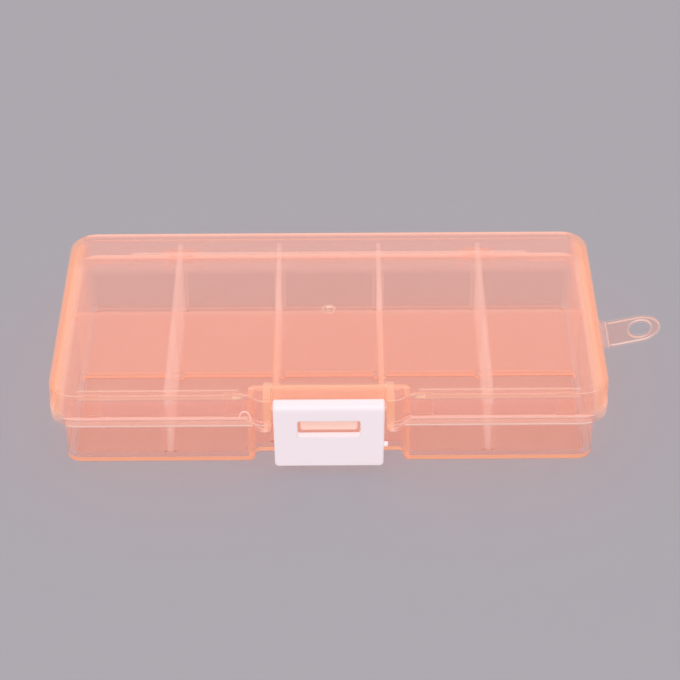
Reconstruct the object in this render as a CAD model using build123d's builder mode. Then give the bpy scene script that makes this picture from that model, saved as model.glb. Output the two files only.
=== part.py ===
from build123d import *
import math
import os

# Compartment storage box: tray, hinged lid, front latch, loose dividers and a folding hang tab.
# Millimetres, +Z up. The origin is the centre of the tray's underside, the latch faces -Y
# and the hang tab is on the +X side.

os.makedirs("parts", exist_ok=True)

# Lid
lid_length = 128.0
lid_depth = 65.0
case_height = 22.0
lid_corner_radius = 6.3
lid_wall = 1.2
roof_thickness = 1.2
skirt_height = 7.2
skirt_draft = 2.0
roof_edge_radius = 0.7
gate_dimple_radius = 1.6
gate_dimple_depth = 0.35
gate_nub_radius = 0.5
skirt_pad_thickness = 0.5
skirt_pad_width = 4.2
skirt_pad_x = [21.7, 54.1]

# Tray
tray_wall = 1.3
floor_thickness = 1.2
tray_draft = 0.5
tray_corner_radius = 3.7
tray_foot_radius = 0.5
floor_edge_chamfer = 0.9
parting_gap = 0.3
flange_thickness = 1.7
flange_overhang = 2.8
rim_rise = 2.6
rim_back_pad = 1.0
rim_back_pad_half_length = 49.5

# Latch recess in the tray's front wall
recess_half_width = 17.25
recess_depth = 3.4
recess_corner_radius = 1.4
recess_wall_rise = 1.8

# Centre wall, dividers and the grooves that hold them
centre_wall_y = 0.7
centre_wall_thickness = 1.2
centre_wall_overlap = 0.9
ceiling_clearance = 0.3
columns = 5
column_pitch = 24.7
divider_thickness = 1.1
divider_end_clearance = 0.15
divider_seat_clearance = 0.05
divider_shoulder_clearance = 0.8
divider_corner_radius = 1.3
divider_top_radius = 0.8
groove_clearance = 0.1
rib_thickness = 0.9
rib_depth = 1.0

# Latch, and the lid's pins that it turns on
latch_width = 25.4
latch_length = 16.1
latch_plate_thickness = 1.7
latch_taper = 0.2
latch_edge_radius = 0.5
latch_corner_radius = 0.9
barrel_end_chamfer = 0.3
barrel_radius = 1.8
barrel_below_top = 3.5
latch_pin_radius = 0.9
latch_pin_length = 2.0
pin_clearance = 0.06
pin_end_clearance = 0.15
window_width = 14.4
window_height = 4.6
window_below_barrel = 5.0
window_corner_radius = 0.6
latch_gate_radius = 0.6
latch_gate_length = 0.8
latch_gate_above_bottom = 6.0

# Lid ears that hold the latch, and the notch between them
latch_side_clearance = 0.45
ear_thickness = 1.6
ear_protrusion = 2.2
ear_drop = 1.9
ear_sweep = 4.7
ear_bottom_radius = 1.3
ear_foot_depth = 3.4
notch_depth = 2.4

# Catch on the tray, behind the latch
catch_width = 13.2
catch_shelf_thickness = 1.2
catch_nose_height = 2.2
catch_nose_depth = 1.3
catch_below_barrel = 5.6
catch_corner_radius = 0.8
catch_gap = 0.2

# Back hinge
hinge_behind = 1.45
hinge_pin_radius = 0.85
hinge_lug_radius = 1.55
hinge_lug_thickness = 1.6
hinge_hook_radius = 1.7
hinge_hook_width = 6.0
hinge_mouth = 1.4
hinge_gusset_height = 2.6
hinge_side_clearance = 0.3

# Hang tab and the strip that it folds on
tab_width = 9.8
tab_thickness = 1.0
tab_length = 12.4
tab_hole_radius = 2.7
tab_tilt = 13.5
tab_root_length = 2.6
tab_fold_gap = 0.06
tab_edge_chamfer = 0.25

# Heights
roof_underside = case_height - roof_thickness
ceiling = roof_underside - ceiling_clearance
skirt_bottom = case_height - skirt_height
flange_top = skirt_bottom - parting_gap
flange_bottom = flange_top - flange_thickness
rim_top = flange_top + rim_rise
recess_wall_top = rim_top + recess_wall_rise
ear_bottom = skirt_bottom - ear_drop

# Plan sizes of lid and tray, from the middle of the box
skirt_flare = skirt_height * math.tan(math.radians(skirt_draft))
lid_front = -lid_depth / 2
lid_inner_y = lid_depth / 2 - lid_wall
flange_x = lid_length / 2 + skirt_flare
flange_y = lid_depth / 2 + skirt_flare
tray_x = flange_x - flange_overhang
tray_y = flange_y - flange_overhang
inner_x = tray_x - tray_wall
inner_y = tray_y - tray_wall
recess_y = -tray_y + recess_depth
recess_inner_y = recess_y + tray_wall
recess_inner_x = recess_half_width + tray_wall

# Ears, notch and latch
notch_half_width = latch_width / 2 + latch_side_clearance
ear_outer_x = notch_half_width + ear_thickness
ear_end_x = ear_outer_x + ear_sweep
ear_front = lid_front - ear_protrusion
notch_y = lid_front + notch_depth
notch_wall_back = notch_y + lid_wall
latch_axis_y = ear_front + barrel_radius
latch_axis_z = case_height - barrel_below_top
latch_back = ear_front + latch_plate_thickness
latch_bottom = latch_axis_z - latch_length

# Hinge and hang tab
hinge_y = flange_y + hinge_behind
hinge_z = flange_top - flange_thickness / 2
hinge_pair_width = hinge_hook_width + 2 * (hinge_side_clearance + hinge_lug_thickness)
hinge_x = column_pitch * (columns / 2 - 1)
tab_axis_x = flange_x + tab_root_length + tab_fold_gap + tab_thickness / 2
tab_axis_z = flange_bottom + tab_thickness / 2

column_x = [column_pitch * (i - columns / 2) for i in range(1, columns)]
groove_half_width = divider_thickness / 2 + groove_clearance
centre_wall_front = centre_wall_y - centre_wall_thickness / 2
centre_wall_back = centre_wall_y + centre_wall_thickness / 2


def tray_plan(height, half_x, half_y, corner, recess_x, recess_edge):
    """Plan of the tray with its latch recess, for the outside or the inside of the wall."""
    with BuildSketch(Plane.XY.offset(height)) as plan:
        RectangleRounded(2 * half_x, 2 * half_y, corner)
        with Locations((0, recess_edge)):
            Rectangle(2 * recess_x, 2 * half_y, align=(Align.CENTER, Align.MAX), mode=Mode.SUBTRACT)
        fillet(plan.vertices().filter_by_position(Axis.X, -ear_end_x, ear_end_x), recess_corner_radius)
    return plan.sketch


def lid_plan(height, inset):
    """Plan of the lid with its front swept out to the ears, for the outside or the inside."""
    front = lid_front + inset
    swept_front = ear_front + inset
    middle = ((ear_end_x + ear_outer_x) / 2, (front + swept_front) / 2)
    with BuildSketch(Plane.XY.offset(height)) as plan:
        RectangleRounded(lid_length - 2 * inset, lid_depth - 2 * inset, lid_corner_radius - inset)
        with BuildLine():
            outer = Line((ear_end_x, 0), (ear_end_x, front))
            away = TangentArc(outer @ 1, middle, tangent=(-1, 0))
            level = TangentArc(away @ 1, (ear_outer_x, swept_front), tangent=away % 1)
            Polyline(level @ 1, (0, swept_front), (0, 0), outer @ 0)
        make_face()
        mirror(about=Plane.YZ)
    return plan.sketch


def under_the_ears(clearance):
    """All that lies under the lid's front edge and its ears, lowered by a clearance."""
    edge = skirt_bottom - clearance
    low = ear_bottom - clearance
    middle = ((ear_end_x + ear_outer_x) / 2, (edge + low) / 2)
    with BuildPart() as under:
        with BuildSketch(Plane.XZ.offset(-notch_wall_back)):
            with BuildLine():
                outer = Line((lid_length, edge), (ear_end_x, edge))
                down = TangentArc(outer @ 1, middle, tangent=outer % 1)
                level = TangentArc(down @ 1, (ear_outer_x, low), tangent=down % 1)
                across = Line(level @ 1, (notch_half_width + ear_bottom_radius, low))
                up = JernArc(across @ 1, across % 1, ear_bottom_radius, -90)
                Polyline(up @ 1, (0, low + ear_bottom_radius), (0, -edge), (lid_length, -edge), outer @ 0)
            make_face()
            mirror(about=Plane.YZ)
        extrude(amount=lid_depth)
    return under.part


# Tray: body, rim and flange
with BuildPart() as tray:
    body_plan = tray_plan(flange_bottom, tray_x, tray_y, tray_corner_radius, recess_half_width, recess_y)
    extrude(body_plan, amount=-flange_bottom, taper=tray_draft)
    fillet(tray.faces().sort_by(Axis.Z)[0].edges(), tray_foot_radius)
    extrude(body_plan, amount=rim_top - flange_bottom)

    # The wall round the latch recess stands higher than the rim
    around_recess = Pos(0, -tray_y, rim_top) * Box(
        2 * recess_inner_x, 2 * (tray_y + recess_inner_y), 2 * recess_wall_rise, mode=Mode.PRIVATE
    )
    add(around_recess & extrude(body_plan, amount=recess_wall_top - flange_bottom, mode=Mode.PRIVATE))

    # Flange round the outside, which the lid's skirt stands over
    with BuildSketch(Plane.XY.offset(flange_bottom)):
        RectangleRounded(2 * flange_x, 2 * flange_y, lid_corner_radius + skirt_flare)
        with Locations((0, recess_y)):
            Rectangle(
                2 * recess_half_width, lid_depth, align=(Align.CENTER, Align.MAX), mode=Mode.SUBTRACT
            )
    extrude(amount=flange_thickness)

    # The flange dips under the lid's ears, with the parting gap kept
    dip = Pos(0, -tray_y - flange_overhang / 4, flange_bottom) * Box(
        2 * ear_end_x,
        flange_overhang * 2,
        flange_thickness * 2,
        align=(Align.CENTER, Align.MAX, Align.MIN),
        mode=Mode.PRIVATE,
    )
    add(dip - under_the_ears(parting_gap), mode=Mode.SUBTRACT)

    # The rim is thicker along the hinge
    with BuildSketch(Plane.XY.offset(flange_bottom)):
        with Locations((0, tray_y)):
            Rectangle(2 * rim_back_pad_half_length, 2 * rim_back_pad)
    extrude(amount=rim_top - flange_bottom)

    # Hollow, with a sloping foot along every wall
    inner_corner = tray_corner_radius - tray_wall
    hollow_plan = tray_plan(
        floor_thickness, inner_x, inner_y, inner_corner, recess_inner_x, recess_inner_y
    )
    extrude(hollow_plan, amount=case_height, mode=Mode.SUBTRACT)
    inside_floor = tray.faces().filter_by_position(Axis.Z, floor_thickness, floor_thickness)
    chamfer(inside_floor.edges(), floor_edge_chamfer)

    # Centre wall, which reaches over the rim at its two ends
    upright = (Align.CENTER, Align.MIN)
    wall_root = floor_thickness / 2
    with BuildSketch(Plane.XZ.offset(-centre_wall_y)):
        with Locations((0, wall_root)):
            Rectangle(2 * inner_x + tray_wall, rim_top - wall_root, align=upright)
        with Locations((0, rim_top)):
            Rectangle(2 * (inner_x + centre_wall_overlap), ceiling - rim_top, align=upright)
    extrude(amount=centre_wall_thickness / 2, both=True)

    # Pairs of ribs that hold the dividers, on the outer walls and on the centre wall
    with BuildSketch(Plane.XY.offset(wall_root)):
        for x in column_x:
            front_inner_y = recess_inner_y if abs(x) < recess_half_width else -inner_y
            rib_roots = [
                (inner_y, Align.MAX),
                (centre_wall_back, Align.MIN),
                (centre_wall_front, Align.MAX),
                (front_inner_y, Align.MIN),
            ]
            for wall_y, inward in rib_roots:
                for side in (-1, 1):
                    with Locations((x + side * (groove_half_width + rib_thickness / 2), wall_y)):
                        Rectangle(rib_thickness, rib_depth, align=(Align.CENTER, inward))
                        Rectangle(rib_thickness, rib_depth)
    extrude(amount=flange_top - wall_root)

    # Catch: a shelf on the recessed wall, with a nose that stands behind the latch's window
    catch_front = latch_back + catch_gap
    catch_root = recess_y + tray_wall / 2
    catch_top = latch_axis_z - catch_below_barrel + catch_nose_height / 2
    with BuildSketch(Plane.YZ):
        with Locations((catch_root, catch_top)):
            Rectangle(catch_root - catch_front, catch_shelf_thickness, align=Align.MAX)
        with Locations((catch_front, catch_top)):
            Rectangle(catch_nose_depth, catch_nose_height, align=(Align.MIN, Align.MAX))
    extrude(amount=catch_width / 2, both=True)
    nose = tray.faces().filter_by(Plane.XZ).sort_by(Axis.Y)[0]
    fillet(nose.edges().filter_by(Axis.Z), catch_corner_radius)

    # The flange makes room for the lid's hooks
    with Locations((-hinge_x, 0, 0), (hinge_x, 0, 0)):
        with Locations((0, hinge_y - hinge_hook_radius - hinge_side_clearance, flange_bottom)):
            Box(
                hinge_hook_width + 2 * hinge_side_clearance,
                flange_overhang,
                flange_thickness * 2,
                align=(Align.CENTER, Align.MIN, Align.CENTER),
                mode=Mode.SUBTRACT,
            )

    # Hinge lugs, and the pin between each pair
    lug_offset = (hinge_pair_width - hinge_lug_thickness) / 2
    lug_planes = [Plane.YZ.offset(s * hinge_x + e * lug_offset) for s in (-1, 1) for e in (-1, 1)]
    lug_root = flange_y - flange_overhang / 2
    with BuildSketch(*lug_planes):
        with Locations((hinge_y, hinge_z)):
            Circle(hinge_lug_radius)
        with Locations((lug_root, flange_top)):
            Rectangle(
                hinge_y - lug_root, flange_thickness / 2 + hinge_lug_radius, align=(Align.MIN, Align.MAX)
            )
    extrude(amount=hinge_lug_thickness / 2, both=True)
    with BuildSketch(Plane.YZ.offset(-hinge_x), Plane.YZ.offset(hinge_x)):
        with Locations((hinge_y, hinge_z)):
            Circle(hinge_pin_radius)
    extrude(amount=lug_offset, both=True)

    # Strip that the hang tab folds on
    with Locations((flange_x + tab_root_length, centre_wall_y, flange_bottom)):
        Box(
            tab_root_length + flange_overhang / 2,
            tab_width,
            tab_thickness,
            align=(Align.MAX, Align.CENTER, Align.MIN),
        )

tray.part.label = "tray"
export_step(tray.part, "parts/tray.step")

# Lid: roof and skirt with the swept front
with BuildPart() as lid:
    deep = skirt_height + ear_drop
    extrude(lid_plan(case_height, 0), amount=-deep, taper=-skirt_draft)
    fillet(lid.faces().sort_by(Axis.Z)[-1].edges(), roof_edge_radius)
    extrude(
        lid_plan(roof_underside, lid_wall), amount=-deep, taper=-skirt_draft, mode=Mode.SUBTRACT
    )

    # Pads inside the front skirt, which keep the lid from shifting on the rim
    with BuildSketch(Plane.XY.offset(skirt_bottom)):
        for x in skirt_pad_x:
            with Locations((-x, lid_front + lid_wall / 2), (x, lid_front + lid_wall / 2)):
                Rectangle(
                    skirt_pad_width,
                    lid_wall / 2 + skirt_pad_thickness,
                    align=(Align.CENTER, Align.MIN),
                )
    extrude(amount=roof_underside + roof_thickness / 2 - skirt_bottom)

    # Cheeks of the ears and the wall behind the latch, then the notch between them
    with BuildSketch(Plane.XY.offset(ear_bottom)):
        with Locations((0, notch_wall_back)):
            Rectangle(2 * ear_outer_x, notch_wall_back - ear_front, align=(Align.CENTER, Align.MAX))
    extrude(amount=roof_underside + roof_thickness / 2 - ear_bottom)
    with BuildSketch(Plane.XY.offset(ear_bottom)):
        with Locations((0, notch_y)):
            Rectangle(2 * notch_half_width, lid_depth, align=(Align.CENTER, Align.MAX))
    extrude(amount=case_height, mode=Mode.SUBTRACT)

    # The bottom edge: level all round, and swept down to the ears at the front
    add(under_the_ears(0), mode=Mode.SUBTRACT)
    with Locations((0, ear_front + ear_foot_depth, skirt_bottom)):
        Box(
            2 * lid_length,
            2 * lid_depth,
            case_height,
            align=(Align.CENTER, Align.MIN, Align.MAX),
            mode=Mode.SUBTRACT,
        )

    # Pins on the cheeks, which the latch turns on
    for side in (-1, 1):
        with BuildSketch(Plane.YZ.offset(side * (notch_half_width - latch_pin_length))):
            with Locations((latch_axis_y, latch_axis_z)):
                Circle(latch_pin_radius)
        extrude(amount=side * (latch_pin_length + ear_thickness / 2))

    # Hooks that snap over the tray's hinge pins, each on a gusset
    hook_planes = [Plane.YZ.offset(-hinge_x), Plane.YZ.offset(hinge_x)]
    gusset_root = flange_y - lid_wall / 2
    with BuildSketch(*hook_planes):
        with Locations((hinge_y, hinge_z)):
            Circle(hinge_hook_radius)
        with BuildLine():
            Polyline(
                (gusset_root, skirt_bottom),
                (gusset_root, skirt_bottom + hinge_gusset_height),
                (hinge_y, hinge_z + hinge_hook_radius),
                (hinge_y, hinge_z),
                close=True,
            )
        make_face()
    extrude(amount=hinge_hook_width / 2, both=True)
    with BuildSketch(*hook_planes):
        with Locations((hinge_y, hinge_z)):
            Circle(hinge_pin_radius + pin_clearance)
            Rectangle(hinge_mouth, 2 * hinge_hook_radius, align=(Align.CENTER, Align.MAX))
    extrude(amount=hinge_hook_width / 2, both=True, mode=Mode.SUBTRACT)

    # Moulding gate in the middle of the roof: a shallow dimple with a nub
    with Locations((0, 0, case_height)):
        Cylinder(
            gate_dimple_radius,
            gate_dimple_depth,
            align=(Align.CENTER, Align.CENTER, Align.MAX),
            mode=Mode.SUBTRACT,
        )
    with Locations((0, 0, roof_underside + roof_thickness / 2)):
        Cylinder(gate_nub_radius, roof_thickness / 2, align=(Align.CENTER, Align.CENTER, Align.MIN))

lid.part.label = "lid"
export_step(lid.part, "parts/lid.step")

# Latch: a plate with a window, under a barrel with a blind bore in each end
with BuildPart() as latch:
    with BuildSketch(Plane.XZ.offset(-latch_back)) as plate:
        with BuildLine():
            Polyline(
                (-latch_width / 2, latch_axis_z),
                (latch_width / 2, latch_axis_z),
                (latch_width / 2 - latch_taper, latch_bottom),
                (latch_taper - latch_width / 2, latch_bottom),
                close=True,
            )
        make_face()
        fillet(plate.vertices().group_by(Axis.Y)[0], latch_corner_radius)
    extrude(amount=latch_plate_thickness)
    front_edges = latch.faces().sort_by(Axis.Y)[0].edges()
    fillet(front_edges.filter_by_position(Axis.Z, 0, latch_axis_z - barrel_radius), latch_edge_radius)
    barrel_end = latch_width / 2
    with BuildSketch(Plane.XZ.offset(-latch_axis_y)):
        with BuildLine():
            Polyline(
                (-barrel_end, latch_axis_z),
                (-barrel_end, latch_axis_z + barrel_radius - barrel_end_chamfer),
                (barrel_end_chamfer - barrel_end, latch_axis_z + barrel_radius),
                (barrel_end - barrel_end_chamfer, latch_axis_z + barrel_radius),
                (barrel_end, latch_axis_z + barrel_radius - barrel_end_chamfer),
                (barrel_end, latch_axis_z),
                close=True,
            )
        make_face()
    revolve(axis=Axis((0, latch_axis_y, latch_axis_z), (1, 0, 0)))
    bore_depth = latch_pin_length - latch_side_clearance + pin_end_clearance
    for side in (-1, 1):
        with BuildSketch(Plane.YZ.offset(side * latch_width / 2)):
            with Locations((latch_axis_y, latch_axis_z)):
                Circle(latch_pin_radius + pin_clearance)
        extrude(amount=-side * bore_depth, mode=Mode.SUBTRACT)
    with BuildSketch(Plane.XZ.offset(-latch_back)):
        with Locations((0, latch_axis_z - window_below_barrel)):
            RectangleRounded(window_width, window_height, window_corner_radius)
    extrude(amount=2 * latch_plate_thickness, both=True, mode=Mode.SUBTRACT)
    gate_z = latch_bottom + latch_gate_above_bottom
    gate_root = latch_width / 2 - 2 * latch_taper
    with BuildSketch(Plane.YZ.offset(gate_root)):
        with Locations(((latch_back + ear_front) / 2, gate_z)):
            Circle(latch_gate_radius)
    extrude(amount=2 * latch_taper + latch_gate_length)

latch.part.label = "latch"
export_step(latch.part, "parts/latch.step")

# Hang tab: a strap with a round end and a hole, rounded where it folds
tilt = math.radians(tab_tilt)
tab_plane = Plane(
    origin=(tab_axis_x, centre_wall_y, tab_axis_z),
    x_dir=(math.cos(tilt), 0, math.sin(tilt)),
    z_dir=(-math.sin(tilt), 0, math.cos(tilt)),
)
with BuildPart() as hang_tab:
    with BuildSketch(tab_plane):
        with Locations((tab_length - tab_width / 2, 0)):
            Circle(tab_width / 2)
            Rectangle(tab_length - tab_width / 2, tab_width, align=(Align.MAX, Align.CENTER))
            Circle(tab_hole_radius, mode=Mode.SUBTRACT)
    extrude(amount=tab_thickness / 2, both=True)
    strap_edges = hang_tab.faces().filter_by(tab_plane).edges()
    free_edges = strap_edges.filter_by(lambda edge: edge.center().X > tab_axis_x + tab_thickness)
    chamfer(free_edges, tab_edge_chamfer)
    with BuildSketch(Plane.XZ.offset(-centre_wall_y)):
        with Locations((tab_axis_x, tab_axis_z)):
            Circle(tab_thickness / 2)
    extrude(amount=tab_width / 2, both=True)

hang_tab.part.label = "hang_tab"
export_step(hang_tab.part, "parts/hang_tab.step")

# Dividers: each stands in two grooves and has shoulders over the rim, just under the roof
back_shoulder = lid_inner_y - divider_shoulder_clearance
front_shoulder = -lid_inner_y + divider_shoulder_clearance
notch_shoulder = notch_wall_back + divider_shoulder_clearance
divider_foot = floor_thickness + divider_seat_clearance


def make_divider(name, x, centre_end, wall_end, wall_top, shoulder_end):
    """One divider, from the centre wall out to its wall, with the shoulder over that wall's top."""
    shoulder_z = wall_top + divider_seat_clearance
    with BuildPart() as divider:
        with BuildSketch(Plane.YZ.offset(x)) as side_view:
            with BuildLine():
                Polyline(
                    (centre_end, divider_foot),
                    (wall_end, divider_foot),
                    (wall_end, shoulder_z),
                    (shoulder_end, shoulder_z),
                    (shoulder_end, ceiling),
                    (centre_end, ceiling),
                    close=True,
                )
            make_face()
            fillet(side_view.vertices().group_by(Axis.Y)[0], divider_corner_radius)
            top_corners = side_view.vertices().group_by(Axis.Y)[-1].sort_by(Axis.X)
            fillet(top_corners[-1] if wall_end > centre_end else top_corners[0], divider_top_radius)
        extrude(amount=divider_thickness / 2, both=True)
    divider.part.label = name
    export_step(divider.part, f"parts/{name}.step")
    return divider.part


for index, x in enumerate(column_x, start=1):
    centre_end = centre_wall_back + divider_end_clearance
    wall_end = inner_y - divider_end_clearance
    make_divider(f"divider_back_{index}", x, centre_end, wall_end, rim_top, back_shoulder)
    centre_end = centre_wall_front - divider_end_clearance
    if abs(x) < recess_half_width:
        wall_end = recess_inner_y + divider_end_clearance
        make_divider(f"divider_front_{index}", x, centre_end, wall_end, recess_wall_top, notch_shoulder)
    else:
        wall_end = -inner_y + divider_end_clearance
        make_divider(f"divider_front_{index}", x, centre_end, wall_end, rim_top, front_shoulder)
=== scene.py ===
# %% [markdown]
# # A compartment storage box in clear orange plastic
# The box has a tray with ten compartments, a hinged lid, a white latch, loose dividers and a
# small tab to hang it by. The CAD model already holds every moulded part at its real size, so
# most of this lesson is about one question: how does thin, tinted plastic get its look? Walls
# look pale where the eye crosses them once and glow orange where it looks along them. Here that
# glow, the bright edge lines and the shade on the plastic are painted into its shaders.

# %% Load the CAD model as a fixed frame
import math

import bmesh
import bpy
from mathutils import Matrix, Vector


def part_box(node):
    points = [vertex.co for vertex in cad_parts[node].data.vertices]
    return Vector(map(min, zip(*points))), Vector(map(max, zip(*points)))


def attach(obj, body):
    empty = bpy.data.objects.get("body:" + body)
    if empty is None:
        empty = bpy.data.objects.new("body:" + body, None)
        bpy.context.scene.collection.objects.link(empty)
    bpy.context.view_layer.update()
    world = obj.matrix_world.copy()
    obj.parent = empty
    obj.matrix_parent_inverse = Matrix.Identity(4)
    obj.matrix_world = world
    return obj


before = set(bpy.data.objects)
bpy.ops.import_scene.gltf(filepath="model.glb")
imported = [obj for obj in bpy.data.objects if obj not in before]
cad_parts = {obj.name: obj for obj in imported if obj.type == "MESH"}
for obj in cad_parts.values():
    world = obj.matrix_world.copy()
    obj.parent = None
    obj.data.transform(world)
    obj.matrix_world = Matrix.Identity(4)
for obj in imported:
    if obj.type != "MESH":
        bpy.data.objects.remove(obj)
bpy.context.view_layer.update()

MM = 0.001
scene = bpy.context.scene
scene.view_settings.view_transform = "Standard"

# %% [markdown]
# ## Camera
# The photograph looks down on the box from the front through a long lens, so the sides run
# nearly parallel. The camera's place could be found by eye; here it was worked out from the
# corners of the lid, whose real size is known. A trace of roll tilts the far edge.

# %% Camera at the photograph's viewing angle
CAMERA_PLACE = Vector((2.65, -412.4, 325.7)) * MM
LOOKS_DOWN = 37.2
ROLL = -0.35
LENS = 113.8

camera_data = bpy.data.cameras.new("photo_camera")
camera_data.lens = LENS
camera = bpy.data.objects.new("photo_camera", camera_data)
scene.collection.objects.link(camera)
tilt = Matrix.Rotation(math.radians(90 - LOOKS_DOWN), 4, "X")
roll = Matrix.Rotation(math.radians(ROLL), 4, "Z")
camera.matrix_world = Matrix.Translation(CAMERA_PLACE) @ tilt @ roll
scene.camera = camera
print("camera distance in mm:", round(CAMERA_PLACE.length / MM))

# %% [markdown]
# ## Light
# The real studio is a bright tent: light comes from everywhere, a bit more from above and in
# front, and the shadow is faint. A uniform world gives the tent, and large area lamps give the
# long soft highlights along the edges. Small lamps would give hard spots that the photograph
# doesn't have. Together they light a white card to about white and no further.

# %% World and soft lamps
TENT_STRENGTH = 0.74
TENT_COLOUR = (1.0, 0.985, 1.0, 1.0)

world = bpy.data.worlds.new("light_tent")
scene.world = world
world.use_nodes = True
tent = world.node_tree.nodes["Background"]
tent.inputs["Color"].default_value = TENT_COLOUR
tent.inputs["Strength"].default_value = TENT_STRENGTH


def softbox(name, place, width, height, watts):
    """A rectangular lamp that looks at the middle of the box."""
    data = bpy.data.lights.new(name, "AREA")
    data.shape = "RECTANGLE"
    data.size = width
    data.size_y = height
    data.energy = watts
    lamp = bpy.data.objects.new(name, data)
    lamp.location = place
    lamp.rotation_euler = (-Vector(place)).to_track_quat("-Z", "Y").to_euler()
    scene.collection.objects.link(lamp)
    return lamp


softbox("front_softbox", (-0.15, -1.15, 0.8), 1.4, 0.9, 8.0)
softbox("back_softbox", (0.1, 0.9, 0.7), 1.4, 0.5, 2.0)

# %% [markdown]
# ## How deep can light go?
# A line of sight crosses up to a dozen thin walls here, and each wall has two faces. Blender
# stops after eight see-through faces and shows black behind them, so the limit is raised.

# %% Let light cross every wall
FACES_IN_A_ROW = 48
scene.cycles.transparent_max_bounces = FACES_IN_A_ROW
print("see-through faces in a row:", FACES_IN_A_ROW)

# %% [markdown]
# ## Floor
# The box stands on smooth grey paper that fills the picture. One large square mesh does it.
# It lies a hair under the box, because two faces at the very same height flicker: the
# renderer can't tell which one comes first.

# %% Grey paper
FLOOR_SIDE = 8.0
FLOOR_DROP = 0.05 * MM
PAPER_GREY = (0.408, 0.390, 0.423, 1.0)

paper = bpy.data.materials.new("grey_paper")
paper.use_nodes = True
paper_shader = paper.node_tree.nodes["Principled BSDF"]
paper_shader.inputs["Base Color"].default_value = PAPER_GREY
paper_shader.inputs["Roughness"].default_value = 0.85
paper_shader.inputs["Specular IOR Level"].default_value = 0.2

half = FLOOR_SIDE / 2
floor_corners = [(-half, -half, 0), (half, -half, 0), (half, half, 0), (-half, half, 0)]
floor_mesh = bpy.data.meshes.new("floor")
floor_mesh.from_pydata(floor_corners, [], [(0, 1, 2, 3)])
floor_mesh.materials.append(paper)
floor = bpy.data.objects.new("floor", floor_mesh)
floor.location.z = -FLOOR_DROP
scene.collection.objects.link(floor)
print("floor side in m:", FLOOR_SIDE)

# %% [markdown]
# ## Node helpers
# A few short functions keep the node code readable. One adds a node and fills its sockets,
# two are for the sums that come up again and again, and the last starts a group. A socket is
# called by its name, with _ for a space, or by its number, as in i0, where the name isn't
# unique.

# %% Helpers for nodes and groups


def add_node(tree, kind, settings=(), **sockets):
    """Add a node, set its properties, then set or link the input sockets."""
    node = tree.nodes.new(kind)
    for key, value in dict(settings).items():
        setattr(node, key, value)
    for key, value in sockets.items():
        numbered = key[0] == "i" and key[1:].isdigit()
        socket = node.inputs[int(key[1:]) if numbered else key.replace("_", " ")]
        if isinstance(value, bpy.types.NodeSocket):
            tree.links.new(value, socket)
        else:
            socket.default_value = value
    return node


def math_node(tree, operation, first, second=0.0):
    """One sum on two values, each a number or a socket. Gives the result's socket."""
    return add_node(tree, "ShaderNodeMath", {"operation": operation}, i0=first, i1=second).outputs[0]


def vector_node(tree, operation, first, second):
    """One sum on two vectors. Gives the node, because some sums put out a single value."""
    return add_node(tree, "ShaderNodeVectorMath", {"operation": operation}, i0=first, i1=second)


def ramp(tree, value, start, end, low=0.0, high=1.0):
    """Turn a value between start and end into one between low and high. Gives its socket."""
    limits = {"From_Min": start, "From_Max": end, "To_Min": low, "To_Max": high}
    return add_node(tree, "ShaderNodeMapRange", Value=value, **limits).outputs["Result"]


def blend_colours(tree, mask, first, second):
    """The first colour where the mask is nothing, the second where it is one."""
    node = add_node(tree, "ShaderNodeMix", {"data_type": "RGBA"}, i0=mask, i6=first, i7=second)
    return node.outputs[2]


def place_group(tree, group, **sockets):
    """Put a group into a material and fill its sockets."""
    return add_node(tree, "ShaderNodeGroup", {"node_tree": group}, **sockets)


def new_group(name, inputs, outputs):
    """A shader node group with named sockets. Gives the group and its two end nodes."""
    group = bpy.data.node_groups.new(name, "ShaderNodeTree")
    for socket_name, kind, default in inputs:
        socket = group.interface.new_socket(name=socket_name, in_out="INPUT", socket_type=kind)
        socket.default_value = default
    for socket_name, kind in outputs:
        group.interface.new_socket(name=socket_name, in_out="OUTPUT", socket_type=kind)
    return group, group.nodes.new("NodeGroupInput"), group.nodes.new("NodeGroupOutput")


FLOAT = "NodeSocketFloat"
VECTOR = "NodeSocketVector"
print("helpers ready, one millimetre is", MM, "m")

# %% [markdown]
# ## Shared effect 1: thick edges and painted edge highlights
# Seen face on, a wall is 1.2 mm thick. Near an edge the eye looks along the wall, through many
# millimetres of it, and the tint builds up. The Bevel node finds such edges: within a small
# radius of an edge it bends the normal, and the angle between the bent and the true normal
# says how near the edge is. The materials also paint highlights on this mask, in paler
# colours, for the light that real rounded edges catch. The bent normal also rounds the
# highlights, as the small radii of a real moulding do. Real bevels in the mesh would round them
# too, but give no mask.

# %% Group: thick and bright edges
EDGE_RADIUS = 0.6 * MM
EDGE_START = 0.03
EDGE_FULL = 0.13

thick_and_bright_edges, ends_in, ends_out = new_group(
    "thick_and_bright_edges",
    [("Radius", FLOAT, EDGE_RADIUS), ("Start", FLOAT, EDGE_START), ("Full", FLOAT, EDGE_FULL)],
    [("Edge", FLOAT), ("Normal", VECTOR)],
)
rounded = add_node(thick_and_bright_edges, "ShaderNodeBevel", {"samples": 6}, Radius=ends_in.outputs["Radius"])
true_normal = add_node(thick_and_bright_edges, "ShaderNodeNewGeometry").outputs["True Normal"]
same_way = vector_node(thick_and_bright_edges, "DOT_PRODUCT", rounded.outputs["Normal"], true_normal)
straight = math_node(thick_and_bright_edges, "ABSOLUTE", same_way.outputs["Value"])
turned = math_node(thick_and_bright_edges, "SUBTRACT", 1.0, straight)
edge_mask = ramp(thick_and_bright_edges, turned, ends_in.outputs["Start"], ends_in.outputs["Full"])
thick_and_bright_edges.links.new(edge_mask, ends_out.inputs["Edge"])
thick_and_bright_edges.links.new(rounded.outputs["Normal"], ends_out.inputs["Normal"])
print("group:", thick_and_bright_edges.name)

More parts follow.
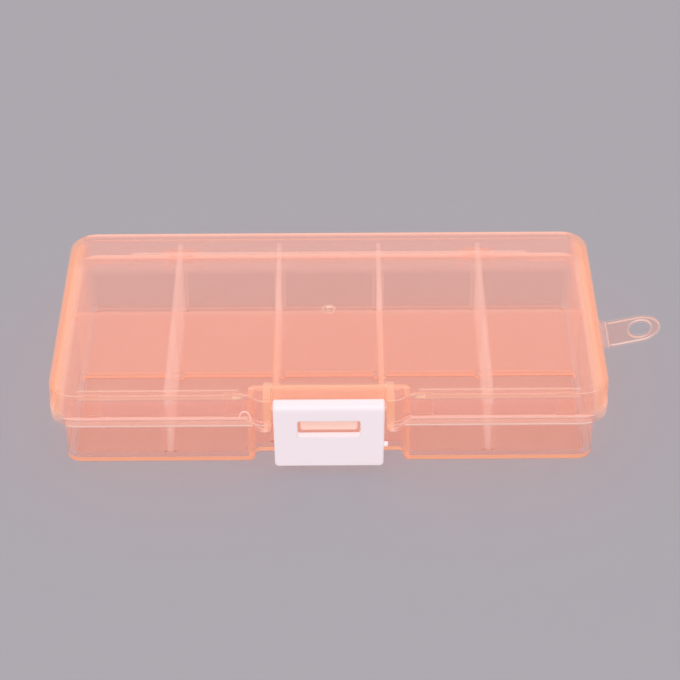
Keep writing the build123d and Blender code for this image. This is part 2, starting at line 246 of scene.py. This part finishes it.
# %% [markdown]
# ## Shared effect 2: marks of moulding and use
# Molten plastic leaves faint cloudy streaks where it flowed, and a box in use gets fine
# scuffs. Stretched noise gives the streaks and a second, finer noise the scuffs. Both stay
# weak: the real box is nearly clean. The group gives a cloud value for the haze, a scuff value
# for the roughness and a slightly uneven normal.

# %% Group: flow and scuffs
STREAK_STRETCH = (1.0, 0.45, 1.0)
SCUFF_FINENESS = 900.0

flow_marks, marks_in, marks_out = new_group(
    "flow_marks",
    [("Cloud Size", FLOAT, 60.0), ("Waviness", FLOAT, 0.03), ("Normal", VECTOR, (0.0, 0.0, 0.0))],
    [("Cloud", FLOAT), ("Scuff", FLOAT), ("Normal", VECTOR)],
)
own_point = add_node(flow_marks, "ShaderNodeTexCoord").outputs["Object"]
streak = add_node(flow_marks, "ShaderNodeMapping", Vector=own_point, Scale=STREAK_STRETCH).outputs["Vector"]
cloud_looks = {"Scale": marks_in.outputs["Cloud Size"], "Detail": 3.0, "Roughness": 0.55}
cloud = add_node(flow_marks, "ShaderNodeTexNoise", Vector=streak, **cloud_looks).outputs["Fac"]
scuff_looks = {"Scale": SCUFF_FINENESS, "Detail": 4.0, "Roughness": 0.7}
scuff = add_node(flow_marks, "ShaderNodeTexNoise", Vector=streak, **scuff_looks).outputs["Fac"]
uneven = add_node(
    flow_marks,
    "ShaderNodeBump",
    Strength=marks_in.outputs["Waviness"],
    Distance=1.0 * MM,
    Height=cloud,
    Normal=marks_in.outputs["Normal"],
)
flow_marks.links.new(cloud, marks_out.inputs["Cloud"])
flow_marks.links.new(scuff, marks_out.inputs["Scuff"])
flow_marks.links.new(uneven.outputs["Normal"], marks_out.inputs["Normal"])
print("group:", flow_marks.name)

# %% [markdown]
# ## Shared effect 3: rounded corners
# Where a level face rounds over into a wall, light that travels inside the plastic leaves it,
# so the real box has a bright line along its roof edge and along its bottom. The materials
# paint these lines on the two masks of this group, as a painted highlight and a painted glow.
# The direction that a face points in tells where the corner is: its upward part is one on the
# roof, nothing on a wall and between the two on the rounding. Multiplying that part by what it
# lacks to one gives the most in the middle. The foot is found by its height instead: it is the
# lowest millimetre or so of every face that isn't level.

# %% Group: round corners
round_corners, corners_in, corners_out = new_group(
    "round_corners",
    [("Start", FLOAT, 0.12), ("Below", FLOAT, 1.0)],
    [("Level", FLOAT), ("Foot", FLOAT)],
)
own_space = add_node(round_corners, "ShaderNodeTexCoord")
own_height = add_node(round_corners, "ShaderNodeSeparateXYZ", i0=own_space.outputs["Object"]).outputs["Z"]
own_upward = add_node(round_corners, "ShaderNodeSeparateXYZ", i0=own_space.outputs["Normal"]).outputs["Z"]
along_z = math_node(round_corners, "ABSOLUTE", own_upward)
lacks = math_node(round_corners, "SUBTRACT", 1.0, along_z)
corner_part = math_node(round_corners, "MULTIPLY", along_z, lacks)
level_mask = ramp(round_corners, corner_part, corners_in.outputs["Start"], 0.2)
low_enough = math_node(round_corners, "LESS_THAN", own_height, corners_in.outputs["Below"])
not_level = ramp(round_corners, along_z, 0.95, 0.8)
foot_mask = math_node(round_corners, "MULTIPLY", low_enough, not_level)
round_corners.links.new(level_mask, corners_out.inputs["Level"])
round_corners.links.new(foot_mask, corners_out.inputs["Foot"])
print("group:", round_corners.name)

# %% [markdown]
# ## Shared effect 4: a zone
# Some places of the real box glow more than the rest, such as the lid's two ends, and some lie
# in shade; most zones paint that glow, highlights or shade onto the plastic. A zone is a block
# in the part's own space, the same on the left and on the right, so it stays with the part when
# the lid opens. The group gives one inside the block and fades to nothing over the width of its
# soft border. Painting the places on a mesh would also work, but not at a size that can be read
# and changed.

# %% Group: zone
SOFT_BORDER = 0.15

zone, zone_in, zone_out = new_group(
    "zone",
    [
        ("Centre", VECTOR, (0.0, 0.0, 0.0)),
        ("Half Size", VECTOR, (0.01, 0.01, 0.01)),
        ("Fade", FLOAT, SOFT_BORDER * MM),
    ],
    [("Inside", FLOAT)],
)
zone_point = add_node(zone, "ShaderNodeTexCoord").outputs["Object"]
point_xyz = add_node(zone, "ShaderNodeSeparateXYZ", i0=zone_point).outputs
either_side = math_node(zone, "ABSOLUTE", point_xyz["X"])
mirrored = add_node(zone, "ShaderNodeCombineXYZ", i0=either_side, i1=point_xyz["Y"], i2=point_xyz["Z"])
from_centre = vector_node(zone, "SUBTRACT", mirrored.outputs[0], zone_in.outputs["Centre"])
how_far = add_node(zone, "ShaderNodeVectorMath", {"operation": "ABSOLUTE"}, i0=from_centre.outputs["Vector"])
over = vector_node(zone, "SUBTRACT", how_far.outputs["Vector"], zone_in.outputs["Half Size"])
over_xyz = add_node(zone, "ShaderNodeSeparateXYZ", i0=over.outputs["Vector"]).outputs
over_level = math_node(zone, "MAXIMUM", over_xyz["X"], over_xyz["Y"])
over_most = math_node(zone, "MAXIMUM", over_level, over_xyz["Z"])
zone.links.new(ramp(zone, over_most, zone_in.outputs["Fade"], 0.0), zone_out.inputs["Inside"])
print("group:", zone.name)

# %% [markdown]
# ## Clear plastic 1: the dye and its painted glow
# Real glass shading bends every ray twice per wall, which is slow and grainy with ten walls in
# a row. Straight rays are enough here. Inside, a dye takes the light away, and a painted glow in
# its own orange stands in for it, one that shines whatever the lamps do. So a long way through
# the plastic looks dense and a short way looks pale. The rate says how fast: after one metre
# divided by the rate, about two thirds of the light from behind is gone. Light on its way from a
# lamp passes freely, because the real box hardly darkens the paper under it.

# %% Function: dye and painted glow in the volume
NO_LIGHT = (0.0, 0.0, 0.0, 1.0)


def dye_and_painted_glow(tree, dye_glow, rate, is_shadow_ray):
    """A volume that swaps the light from behind for a painted glow in the dye's colour. Gives its socket."""
    absorb = add_node(tree, "ShaderNodeVolumeAbsorption", Color=NO_LIGHT, Density=rate)
    painted_dye_glow = add_node(tree, "ShaderNodeEmission", Color=(*dye_glow, 1.0), Strength=rate)
    dye_absorb_and_glow = add_node(tree, "ShaderNodeAddShader", i0=absorb.outputs["Volume"], i1=painted_dye_glow.outputs["Emission"])
    inside = add_node(tree, "ShaderNodeMixShader", i0=is_shadow_ray, i1=dye_absorb_and_glow.outputs["Shader"])
    return inside.outputs["Shader"]


print("dye function ready")

# %% [markdown]
# ## Clear plastic 2: haze on the faces
# A moulded face is never quite clear. A thin film of haze catches the lamps, a bit more of it
# where the flow clouded the plastic. Edges, corners and zones then add to the film and change
# its colour, or take from it; most of them paint highlights, glow or shade onto it. The alpha
# value says how dense the haze is, which costs nothing, where a real scattering layer would be
# slow.

# %% Function: density and colour of the haze


def haze_on_faces(tree, film, colour, cloud_value, effects):
    """Start from a thin film and let each effect, a mask with its look, change it in turn."""
    clouded = math_node(tree, "MULTIPLY", cloud_value, 0.5 * film)
    density = math_node(tree, "ADD", clouded, 0.75 * film)
    tint = (*colour, 1.0)
    for mask, (gain, new_colour) in effects:
        more = math_node(tree, "MULTIPLY", mask, gain)
        density = math_node(tree, "ADD", density, more)
        tint = blend_colours(tree, mask, tint, (*new_colour, 1.0))
    return math_node(tree, "MINIMUM", density, 1.0), tint


print("haze function ready")

# %% [markdown]
# ## Clear plastic 3: gloss on top
# A face seen at a slant mirrors the bright tent, which turns walls whitish. At the two ends of
# the box the photograph shows a warm glow and hardly any mirror image, so the gloss is damped
# there. How steeply a face is seen comes from its plain normal: bent normals gave grey lines.

# %% Function: share of pure gloss
GLOSS_POWER = 4.5
LEAST_GLOSS = 0.004
ENDS_FROM = 59.0 * MM
ENDS_FADE = 0.8 * MM
ENDS_GLOSS = 0.25


def gloss_share(tree, mirror):
    """How much of a face is pure gloss. Gives its socket."""
    facing = add_node(tree, "ShaderNodeLayerWeight", Blend=0.5).outputs["Facing"]
    steep = math_node(tree, "POWER", facing, GLOSS_POWER)
    own_place = add_node(tree, "ShaderNodeTexCoord").outputs["Object"]
    own_x = add_node(tree, "ShaderNodeSeparateXYZ", i0=own_place).outputs["X"]
    from_middle = math_node(tree, "ABSOLUTE", own_x)
    damped = ramp(tree, from_middle, ENDS_FROM, ENDS_FROM + ENDS_FADE, 1.0, ENDS_GLOSS)
    share = math_node(tree, "MULTIPLY", math_node(tree, "MULTIPLY", steep, damped), mirror)
    return math_node(tree, "ADD", share, LEAST_GLOSS)


print("gloss function ready, damped from mm:", round(ENDS_FROM / MM, 1))

# %% [markdown]
# ## Clear plastic 4: one material
# The three layers come together here. The haze is a Principled shader whose colour is partly
# a painted glow, for the light that wanders about in the walls. The gloss is mixed over it.
# Rays to the lamps and rays that light the paper meet a nearly clear face, whose tint, a little
# above one, adds a painted pink glow to the light that reaches the paper.

# %% Function: one tinted clear plastic
PLASTIC_IOR = 1.5
# Share of the haze colour that is a painted glow, shining whatever the lamps do.
PAINTED_HAZE_GLOW = 0.25
SCUFFED = 0.03
# A tint a little above one adds a painted pink glow to light passing onto the paper.
PASSING_TINT_WITH_GLOW = (1.03, 1.015, 1.015, 1.0)
PLAIN_GLOSS = (1.0, 0.95, 0.93)


def clear_plastic(
    name, dye_glow, rate, haze, film, roughness, edge_radius, edges,
    level=None, foot=None, foot_height=1.0, gloss=PLAIN_GLOSS, mirror=0.5, zones=(),
):
    """A see-through moulded plastic: dye with a painted glow inside, haze on the faces and gloss on top.

    Edges, level, foot and each zone hold a look, which mostly paints light or shade: how much denser the
    haze gets, and its colour.
    """
    material = bpy.data.materials.new(name)
    material.use_nodes = True
    tree = material.node_tree
    shader = tree.nodes["Principled BSDF"]
    sharp = place_group(tree, thick_and_bright_edges, Radius=edge_radius * MM)
    corners = place_group(tree, round_corners, Below=foot_height * MM)
    marks = place_group(tree, flow_marks, Normal=sharp.outputs["Normal"])

    effects = [(sharp.outputs["Edge"], edges)]
    effects += [(corners.outputs["Level"], level)] if level else []
    effects += [(corners.outputs["Foot"], foot)] if foot else []
    for centre, half_size, look, border in zones:
        block = {"Centre": Vector(centre) * MM, "Half_Size": Vector(half_size) * MM, "Fade": border * MM}
        effects.append((place_group(tree, zone, **block).outputs["Inside"], look))
    density, tint = haze_on_faces(tree, film, haze, marks.outputs["Cloud"], effects)
    worn = ramp(tree, marks.outputs["Scuff"], 0.3, 0.8, roughness, roughness + SCUFFED)

    shader.inputs["IOR"].default_value = PLASTIC_IOR
    shader.inputs["Specular Tint"].default_value = (*gloss, 1.0)
    shader.inputs["Emission Strength"].default_value = PAINTED_HAZE_GLOW
    lit_part = add_node(tree, "ShaderNodeVectorMath", {"operation": "SCALE"}, i0=tint, Scale=1.0 - PAINTED_HAZE_GLOW)
    tree.links.new(lit_part.outputs["Vector"], shader.inputs["Base Color"])
    tree.links.new(tint, shader.inputs["Emission Color"])
    tree.links.new(density, shader.inputs["Alpha"])
    tree.links.new(worn, shader.inputs["Roughness"])
    tree.links.new(marks.outputs["Normal"], shader.inputs["Normal"])

    finish = {"Color": (*gloss, 1.0), "Roughness": worn, "Normal": marks.outputs["Normal"]}
    sheen = add_node(tree, "ShaderNodeBsdfGlossy", **finish).outputs["BSDF"]
    share = gloss_share(tree, mirror)
    coated = add_node(tree, "ShaderNodeMixShader", i0=share, i1=shader.outputs["BSDF"], i2=sheen)

    ray = add_node(tree, "ShaderNodeLightPath").outputs
    passes = math_node(tree, "MAXIMUM", ray["Is Shadow Ray"], ray["Is Diffuse Ray"])
    clear_with_glow = add_node(tree, "ShaderNodeBsdfTransparent", Color=PASSING_TINT_WITH_GLOW).outputs["BSDF"]
    surface = add_node(tree, "ShaderNodeMixShader", i0=passes, i1=coated.outputs["Shader"], i2=clear_with_glow)
    output = tree.nodes["Material Output"]
    tree.links.new(surface.outputs["Shader"], output.inputs["Surface"])
    tree.links.new(dye_and_painted_glow(tree, dye_glow, rate, ray["Is Shadow Ray"]), output.inputs["Volume"])
    return material


print("clear plastic function ready, refraction index", PLASTIC_IOR)

# %% [markdown]
# ## Colours of the haze
# All are oranges of one family. The pale ones are painted highlights, for edges that catch the
# lamps; the deep and amber ones are painted glow, for places where light from inside comes out,
# the amber ones also where the eye looks along a wall; and the dull one is painted shade, for
# faces that lie in the shade of others. The dye's colour is that of the painted glow inside.

# %% Shared colours and the zone helper
# Painted light and shade: the dye's glow, pale highlights, deep and amber glow, dull shade.
DYE_GLOW_COLOUR = (1.0, 0.35, 0.22)
HAZE = (1.0, 0.57, 0.51)
TRAY_HAZE = (0.95, 0.40, 0.285)
PALE_HIGHLIGHT = (1.0, 0.74, 0.65)
HIGHLIGHT_LINE = (1.0, 0.66, 0.58)
DEEP_GLOW = (1.0, 0.43, 0.265)
AMBER_GLOW = (1.0, 0.52, 0.34)
DULL_SHADE = (0.60, 0.21, 0.13)


def glow(centre, half_size, gain, colour, border=SOFT_BORDER):
    """A zone in millimetres, mostly of painted glow, highlight or shade: how much denser the haze gets in
    it, its colour and its border.
    """
    return centre, half_size, (gain, colour), border


print("haze of lid and tray:", HAZE, TRAY_HAZE)

# %% [markdown]
# ## The lid's plastic
# The lid's edges get painted pale highlights, and its two ends a painted orange glow. A double
# line of painted highlight runs along the front of the roof, one where the roof ends and one
# where the skirt begins, and the back edge, the skirt's foot and the feet and shoulders of the
# ears get painted highlights too. Both the ears and the wall behind the latch are amber,
# because the eye looks along them, with a painted glow on top. Two zones have a gain below
# nothing: they take haze away where the skirt's inner foot and the hinge hooks would otherwise
# show too strongly.

# %% Lid plastic and its painted glow and highlights
LID_GLOWS = {
    "back edge": glow((0.0, 32.3, 21.5), (60.0, 0.4, 0.2), 0.8, (1.0, 0.58, 0.44), border=1.2),
    "ends": glow((63.8, 0.0, 18.6), (2.4, 32.6, 3.4), 0.24, (1.0, 0.50, 0.31), border=1.4),
    "hinge hooks": glow((37.05, 34.4, 13.6), (3.6, 1.9, 2.4), -0.45, HAZE),
    "front of the roof": glow((39.0, -31.6, 21.5), (18.0, 1.1, 0.9), 0.12, (1.0, 0.50, 0.36), border=0.6),
    "face of the skirt": glow((0.0, -31.9, 18.0), (58.0, 1.2, 2.6), 0.04, (0.92, 0.50, 0.50), border=0.4),
    "line on the roof": glow((38.5, -31.0, 21.9), (18.5, 0.2, 0.15), 0.35, (1.0, 0.56, 0.44)),
    "line on the skirt": glow((38.5, -32.2, 20.95), (18.5, 0.5, 0.3), 0.5, (1.0, 0.52, 0.38), border=0.3),
    "skirt foot": glow((0.0, 0.0, 14.85), (70.0, 40.0, 0.12), 0.6, HIGHLIGHT_LINE),
    "inner side of the foot": glow((0.0, 0.0, 14.85), (63.0, 31.5, 0.4), -0.9, HIGHLIGHT_LINE),
    "cheeks of the ears": glow((13.95, -31.5, 17.0), (0.9, 3.4, 6.0), 0.45, AMBER_GLOW),
    "feet of the ears": glow((15.8, -33.2, 12.5), (2.8, 2.2, 0.35), 0.5, HIGHLIGHT_LINE, border=0.3),
    "shoulders of the ears": glow((20.2, -31.8, 21.1), (1.6, 1.4, 0.35), 0.25, (1.0, 0.60, 0.42)),
    "wall behind the latch": glow((0.0, -29.5, 17.5), (13.1, 0.75, 4.5), 0.25, AMBER_GLOW),
}
lid_plastic = clear_plastic(
    "lid_orange",
    dye_glow=DYE_GLOW_COLOUR,
    rate=145.0,
    haze=HAZE,
    film=0.05,
    roughness=0.1,
    edge_radius=0.45,
    # Edges and level paint pale highlights along the lid's edges and the rim of its roof.
    edges=(0.75, (1.0, 0.67, 0.58)),
    level=(0.25, (1.0, 0.61, 0.50)),
    gloss=(1.0, 0.80, 0.72),
    zones=LID_GLOWS.values(),
)
print("lid zones:", ", ".join(LID_GLOWS))

# %% [markdown]
# ## The tray's plastic
# The tray's foot gets a painted glow in a deep orange, for the light that its floor gathers and
# lets out all round. Seen through the lid, the flange's front edge and the rim at the back are
# painted pale highlight lines, and the nose of the catch gets painted pale light, seen through
# the latch's window. The flange's ends, the recess, the wall behind the window and the foot of
# the centre wall get a painted glow, and the top of the centre wall a painted line. The floors
# get painted shade, since they lie in the shade of the walls, and the back wall is a little
# darker. The foot of the back and side walls is left without the painted glow, or it would draw
# lines through the walls in front of it.

# %% Tray plastic and its painted glow, highlights and shade
TRAY_GLOWS = {
    "floors": glow((0.0, 0.0, 0.7), (59.7, 28.15, 0.7), 0.2, DULL_SHADE),
    "back wall": glow((0.0, 29.3, 6.5), (60.0, 0.9, 5.5), 0.06, (0.50, 0.26, 0.21)),
    "foot of the back wall": glow((0.0, 29.5, 0.7), (62.0, 1.75, 0.72), -0.9, DULL_SHADE),
    "feet of the side walls": glow((61.0, 2.0, 0.7), (1.75, 29.0, 0.72), -0.85, DULL_SHADE),
    "top of the centre wall": glow((0.0, 0.7, 20.45), (61.0, 0.9, 0.2), 0.12, (1.0, 0.52, 0.38)),
    "face of the centre wall": glow((0.0, 0.1, 11.0), (60.0, 0.3, 9.2), 0.075, (0.94, 0.53, 0.435)),
    "flange, top": glow((0.0, -31.3, 14.4), (62.0, 1.2, 0.2), -0.08, DULL_SHADE),
    "flange, front": glow((0.0, -32.75, 13.65), (62.0, 0.4, 0.7), 0.3, (1.0, 0.58, 0.48)),
    "flange, ends": glow((62.9, 0.0, 13.7), (1.4, 30.0, 1.1), 0.2, (1.0, 0.60, 0.45), border=0.5),
    "flange, lower edge": glow((0.0, -32.75, 13.05), (63.0, 0.4, 0.15), 0.7, HIGHLIGHT_LINE),
    "foot of the centre wall": glow((0.0, 0.0, 1.8), (60.0, 1.25, 0.3), 0.6, DEEP_GLOW),
    "rim at the back": glow((0.0, 30.2, 17.0), (60.0, 0.9, 0.15), 0.2, PALE_HIGHLIGHT),
    "nose of the catch": glow((0.0, -31.8, 12.9), (7.0, 1.5, 1.5), 0.9, (1.0, 0.66, 0.56)),
    "wall behind the window": glow((0.0, -26.6, 8.5), (8.5, 0.8, 5.5), 0.15, (1.0, 0.54, 0.40)),
    "recess, foot": glow((0.0, -26.6, 0.75), (17.0, 0.8, 0.6), 0.9, (1.0, 0.48, 0.30)),
    "recess, sides": glow((17.9, -28.2, 9.5), (0.75, 1.9, 9.6), 0.4, DEEP_GLOW),
    "recess, rim": glow((0.0, -25.9, 18.7), (18.6, 0.8, 0.4), 0.5, AMBER_GLOW),
}
tray_plastic = clear_plastic(
    "tray_orange",
    dye_glow=DYE_GLOW_COLOUR,
    rate=45.0,
    haze=TRAY_HAZE,
    film=0.14,
    roughness=0.12,
    edge_radius=0.5,
    # The edges paint a pale highlight and the foot a deep glow.
    edges=(0.1, PALE_HIGHLIGHT),
    foot=(1.0, DEEP_GLOW),
    foot_height=1.5,
    zones=TRAY_GLOWS.values(),
)
print("tray zones:", ", ".join(TRAY_GLOWS))

# %% [markdown]
# ## Plastic of the dividers and the tab
# The dividers look whitish, because their faces are seen at a slant and hold more haze; their
# pale haze is partly a painted sheen. The two short ones beside the latch recess get a painted
# orange glow instead, for the light of the recess wall. The tab is one thin strap with painted
# bright outlines and little else.

# %% Divider and tab plastics
divider_plastic = clear_plastic(
    "divider_clear",
    dye_glow=(0.94, 0.57, 0.50),
    rate=60.0,
    haze=(0.90, 0.67, 0.64),
    film=0.16,
    roughness=0.15,
    edge_radius=0.3,
    # The edge colour is a painted pale highlight.
    edges=(0.14, (1.0, 0.78, 0.73)),
    mirror=0.15,
)
short_divider_glow = clear_plastic(
    "divider_glowing",
    dye_glow=(1.0, 0.45, 0.32),
    rate=60.0,
    haze=(1.0, 0.52, 0.38),
    film=0.12,
    roughness=0.15,
    edge_radius=0.3,
    # The edge colour is a painted orange glow.
    edges=(0.3, (1.0, 0.58, 0.43)),
    mirror=0.15,
)
tab_plastic = clear_plastic(
    "tab_clear",
    dye_glow=(0.82, 0.28, 0.15),
    rate=150.0,
    haze=(1.0, 0.50, 0.42),
    film=0.03,
    roughness=0.1,
    edge_radius=0.35,
    # Edges and level paint the tab's bright outlines as highlights.
    edges=(0.7, PALE_HIGHLIGHT),
    level=(0.6, PALE_HIGHLIGHT),
    mirror=0.15,
)
print("small clear plastics:", [m.name for m in (divider_plastic, short_divider_glow, tab_plastic)])

# %% [markdown]
# ## The white latch
# The latch is solid white plastic with a slight sheen. Its pink cast is painted into its white,
# for the light that the box around it throws on it. White needs care: its edges are only visible
# through soft shading, so the bent normals from the first group matter more here than colour
# does. Part of its white is a painted glow, for the light that thick white plastic scatters
# inside and gives back.

# %% White plastic with a painted glow and pink cast
# These whites hold a painted pink cast, and the glow below is painted light.
WHITE_AND_PINK_CAST = ((0.66, 0.59, 0.61, 1.0), (0.69, 0.62, 0.64, 1.0))
WHITE_PAINTED_GLOW = (0.30, 0.26, 0.275, 1.0)
LATCH_SHADOW = (0.85, 0.88, 0.89, 1.0)

white_plastic = bpy.data.materials.new("latch_white")
white_plastic.use_nodes = True
white_tree = white_plastic.node_tree
white_shader = white_tree.nodes["Principled BSDF"]
white_edges = place_group(white_tree, thick_and_bright_edges, Radius=0.4 * MM)
white_marks = place_group(white_tree, flow_marks, Waviness=0.02, Normal=white_edges.outputs["Normal"])
white_and_pink_tint = blend_colours(white_tree, white_marks.outputs["Cloud"], *WHITE_AND_PINK_CAST)
white_worn = ramp(white_tree, white_marks.outputs["Scuff"], 0.3, 0.8, 0.3, 0.45)
white_shader.inputs["Emission Color"].default_value = WHITE_PAINTED_GLOW
white_shader.inputs["Emission Strength"].default_value = 1.0
white_tree.links.new(white_and_pink_tint, white_shader.inputs["Base Color"])
white_tree.links.new(white_worn, white_shader.inputs["Roughness"])
white_tree.links.new(white_marks.outputs["Normal"], white_shader.inputs["Normal"])
to_lamp = add_node(white_tree, "ShaderNodeLightPath").outputs["Is Shadow Ray"]
light_shade = add_node(white_tree, "ShaderNodeBsdfTransparent", Color=LATCH_SHADOW).outputs["BSDF"]
white_face = white_shader.outputs["BSDF"]
white_surface = add_node(white_tree, "ShaderNodeMixShader", i0=to_lamp, i1=white_face, i2=light_shade)
white_output = white_tree.nodes["Material Output"]
white_tree.links.new(white_surface.outputs["Shader"], white_output.inputs["Surface"])
print("white plastic:", white_plastic.name)

# %% [markdown]
# ## Dress the CAD parts
# Every moulded part keeps its CAD shape and only gets its plastic, by its node's name.

# %% Give each part its plastic
PLASTICS = {"lid": lid_plastic, "tray": tray_plastic, "latch": white_plastic, "hang_tab": tab_plastic}
PLASTICS |= {f"divider_front_{number}": short_divider_glow for number in (2, 3)}
for name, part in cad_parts.items():
    for slot in part.material_slots:
        slot.material = PLASTICS.get(name, divider_plastic)
print("dressed:", sorted(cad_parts))

# %% [markdown]
# ## Torn gate in the middle of the roof
# Molten plastic entered the mould through a small gate, here in the middle of the roof. When
# the lid is torn off its sprue, a ragged rest stays at a round dimple. The dimple and its nub
# are in the CAD model. Here come a ring with a painted glow along the dimple's edge and a
# whitish flake behind the nub, which is a painted glint. Both are rounds of points whose radius
# and height waver, joined by faces, and both stay lower than the nub, so that the lid gets no
# higher.

# %% Ring with painted glow and flake with painted glint at the torn gate
roof_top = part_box("lid")[1][2]
AROUND = 28
GLOW_RING = ((1.05, -0.22), (1.22, -0.05), (1.42, -0.03), (1.6, -0.12))
GLINT_FLAKE = ((0.03, -0.03), (0.3, -0.05), (0.55, -0.12))
GLINT_FLAKE_MIDDLE = (0.1, 1.0)
WAVES = ((0.5, 3, 1.0), (0.3, 7, 2.1), (0.2, 11, 0.7))


def waver(angle, seed):
    """A number between about -1 and 1 that wanders round a circle."""
    return sum(size * math.sin(turns * angle + shift * seed) for size, turns, shift in WAVES)


def ragged(name, rounds, middle, unrest, wide):
    """Rounds of points about a middle, each a radius and a height below the roof, joined by faces."""
    mesh = bmesh.new()
    loops = []
    for seed, (radius, height) in enumerate(rounds):
        loop = []
        for step in range(AROUND):
            angle = 2 * math.pi * step / AROUND
            reach = radius * (1 + unrest * waver(angle, 1.3 + 0.4 * seed))
            sink = height - 0.03 * (1 + waver(angle, 4.0 + seed))
            x = middle[0] + wide * reach * math.cos(angle)
            y = middle[1] + reach * math.sin(angle)
            loop.append(mesh.verts.new((x * MM, y * MM, roof_top + sink * MM)))
        loops.append(loop)
    for inner, outer in zip(loops, loops[1:]):
        for step in range(AROUND):
            after = (step + 1) % AROUND
            mesh.faces.new((inner[step], outer[step], outer[after], inner[after])).smooth = True
    data = bpy.data.meshes.new(name)
    mesh.to_mesh(data)
    mesh.free()
    piece = bpy.data.objects.new(name, data)
    scene.collection.objects.link(piece)
    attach(piece, "lid")
    return piece


gate_glow_ring = ragged("gate_glow_ring", GLOW_RING, (0.0, 0.0), 0.04, 1.0)
gate_glint_flake = ragged("gate_glint_flake", GLINT_FLAKE, GLINT_FLAKE_MIDDLE, 0.45, 1.5)
print("gate faces:", len(gate_glow_ring.data.polygons), len(gate_glint_flake.data.polygons))

# %% [markdown]
# ## Arch on the skirt
# Left of the latch, the real skirt has a thin raised line in the form of a small arch, where
# the lid can be pried up. A curve bent into an arch follows the skirt's curved front: each
# point is found by looking at the lid from the front with a ray. The round line is then kept
# as a mesh.

# %% Arch line beside the left ear
ARCH_MIDDLE_X = -19.1
ARCH_HALF_WIDTH = 1.3
ARCH_FOOT_Z = 14.95
ARCH_TOP_Z = 17.2
ARCH_THICKNESS = 0.22
ARCH_FLATNESS = 0.8
ARCH_STEPS = 16
IN_FRONT_Y = -50.0

lid_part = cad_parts["lid"]
arch_curve = bpy.data.curves.new("pry_arch", "CURVE")
arch_curve.dimensions = "3D"
arch_curve.bevel_depth = ARCH_THICKNESS * MM
arch_curve.bevel_resolution = 3
arch_curve.use_fill_caps = True
arch_line = arch_curve.splines.new("POLY")
arch_line.points.add(ARCH_STEPS)
for step, point in enumerate(arch_line.points):
    angle = math.pi * step / ARCH_STEPS
    x = ARCH_MIDDLE_X - ARCH_HALF_WIDTH * math.cos(angle)
    z = ARCH_FOOT_Z + (ARCH_TOP_Z - ARCH_FOOT_Z) * math.sin(angle) ** ARCH_FLATNESS
    found, hit, normal, face = lid_part.ray_cast(Vector((x, IN_FRONT_Y, z)) * MM, Vector((0, 1, 0)))
    point.co = (hit.x, hit.y, hit.z, 1.0)
bent_line = bpy.data.objects.new("bent_line", arch_curve)
scene.collection.objects.link(bent_line)
bent_now = bent_line.evaluated_get(bpy.context.evaluated_depsgraph_get())
pry_arch = bpy.data.objects.new("pry_arch", bpy.data.meshes.new_from_object(bent_now))
bpy.data.objects.remove(bent_line)
scene.collection.objects.link(pry_arch)
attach(pry_arch, "lid")
print("arch points:", len(arch_line.points))

# %% [markdown]
# ## Plastic for the small pieces
# All are the lid's own plastic, here in a nearly closed, pale version of it with a rough,
# grainy surface and a weak painted glow. The flake's white is a painted glint and the ring's
# orange a painted glow; the arch is a thin pale line.

# %% Pale plastic with a painted glow
STRESS_GRAIN = 1500.0
STRESS_BUMP = 0.4
PALE_PAINTED_GLOW = 0.1


def pale_grainy_plastic(name, deep, pale, alpha):
    """Pale, grainy plastic between two tints, with a weak painted glow, which lets part of the light
    through.
    """
    material = bpy.data.materials.new(name)
    material.use_nodes = True
    tree = material.node_tree
    shader = tree.nodes["Principled BSDF"]
    marks = place_group(tree, flow_marks, Cloud_Size=STRESS_GRAIN, Waviness=STRESS_BUMP)
    tint = blend_colours(tree, marks.outputs["Cloud"], (*deep, 1.0), (*pale, 1.0))
    tree.links.new(tint, shader.inputs["Base Color"])
    tree.links.new(marks.outputs["Scuff"], shader.inputs["Roughness"])
    tree.links.new(marks.outputs["Normal"], shader.inputs["Normal"])
    shader.inputs["Emission Color"].default_value = (*pale, 1.0)
    shader.inputs["Emission Strength"].default_value = PALE_PAINTED_GLOW
    shader.inputs["Alpha"].default_value = alpha
    return material


# The flake's white is a painted glint and the ring's orange a painted glow.
white_glint_and_arch = pale_grainy_plastic("white_glint_and_arch_plastic", (1.0, 0.55, 0.45), (1.0, 0.78, 0.72), 0.65)
ring_glow = pale_grainy_plastic("ring_glow_plastic", (1.0, 0.48, 0.28), (1.0, 0.60, 0.40), 0.45)
for piece, pale_look in ((gate_glow_ring, ring_glow), (gate_glint_flake, white_glint_and_arch), (pry_arch, white_glint_and_arch)):
    piece.data.materials.append(pale_look)
print("small pieces:", gate_glow_ring.name, gate_glint_flake.name, pry_arch.name)
